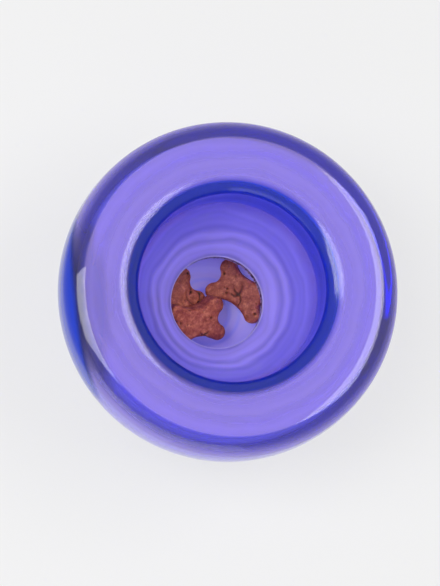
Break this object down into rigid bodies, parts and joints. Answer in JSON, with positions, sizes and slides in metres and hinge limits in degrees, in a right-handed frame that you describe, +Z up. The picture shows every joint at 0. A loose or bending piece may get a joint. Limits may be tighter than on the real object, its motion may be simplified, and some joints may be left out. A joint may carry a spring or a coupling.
{
  "type": "treat dispensing toy",
  "caption": "Hollow soft translucent ball with a flat top, a deep crater and a round hole that lets bone-shaped treats tumble out as it rolls.",
  "frame": {"origin": "centre of the ball's small foot, on the surface that it stands on", "axes": "+Z up along the ball's axis, through the crater and the treat hole; +X to the right and +Y away from the viewer who looks down at the top with the foot below"},
  "size_m": [0.1, 0.1, 0.0625],
  "materials": {
    "soft_rubber": "clear violet-blue, glossy",
    "soft_chew": "matt, porous, reddish brown"
  },
  "bodies": {
    "ball": {"bowl_shell": "soft_rubber", "crater_cap": "soft_rubber"},
    "treat_top": {"treat_top": "soft_chew"},
    "treat_right": {"treat_right": "soft_chew"},
    "treat_left": {"treat_left": "soft_chew"}
  },
  "joints": [
    {"name": "treat_top_out", "type": "slide", "parent": "ball", "child": "treat_top", "axis": [0.4338, 0.3545, 0.8283], "range_m": [0, 0.036]},
    {"name": "treat_right_roll", "type": "hinge", "parent": "ball", "child": "treat_right", "pos_m": [0, 0, 0.04899], "axis": [0.515, -0.8572, 0], "range_deg": [0, 40]},
    {"name": "treat_left_roll", "type": "hinge", "parent": "ball", "child": "treat_left", "pos_m": [0, 0, 0.04899], "axis": [0.6354, 0.7573, -0.1509], "range_deg": [0, 40]}
  ]
}
